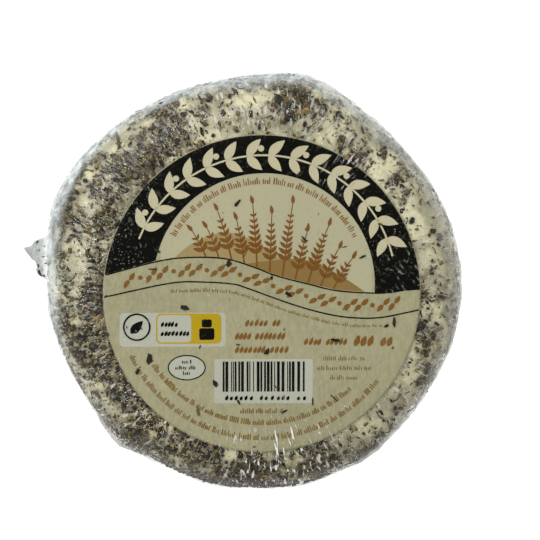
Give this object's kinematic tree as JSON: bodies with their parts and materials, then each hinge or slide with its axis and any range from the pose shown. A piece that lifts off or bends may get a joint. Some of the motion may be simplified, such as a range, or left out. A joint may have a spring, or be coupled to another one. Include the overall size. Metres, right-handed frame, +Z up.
{
  "type": "herb cheese",
  "caption": "Low round soft cheese coated in chopped herbs, with a round paper label on its face, wrapped in clear film that is drawn in and sealed underneath.",
  "frame": {"origin": "middle of the underside, on the sealed end of the film, where the cheese touches the table", "axes": "+Z up through the label, +Y towards the top of the label, +X to the label's right"},
  "size_m": [0.1063, 0.1007, 0.0299],
  "materials": {
    "herb_crust": "moist soft cheese crust under chopped dried herbs",
    "label_paper": "uncoated cream paper with flat printed colours",
    "clear_film": "clear glossy film, stretched and wrinkled",
    "sealed_film": "many layers of clear film pressed together with heat"
  },
  "bodies": {
    "root": {"cheese": "herb_crust", "label": "label_paper", "film": "clear_film", "film_seal": "sealed_film"}
  },
  "joints": []
}
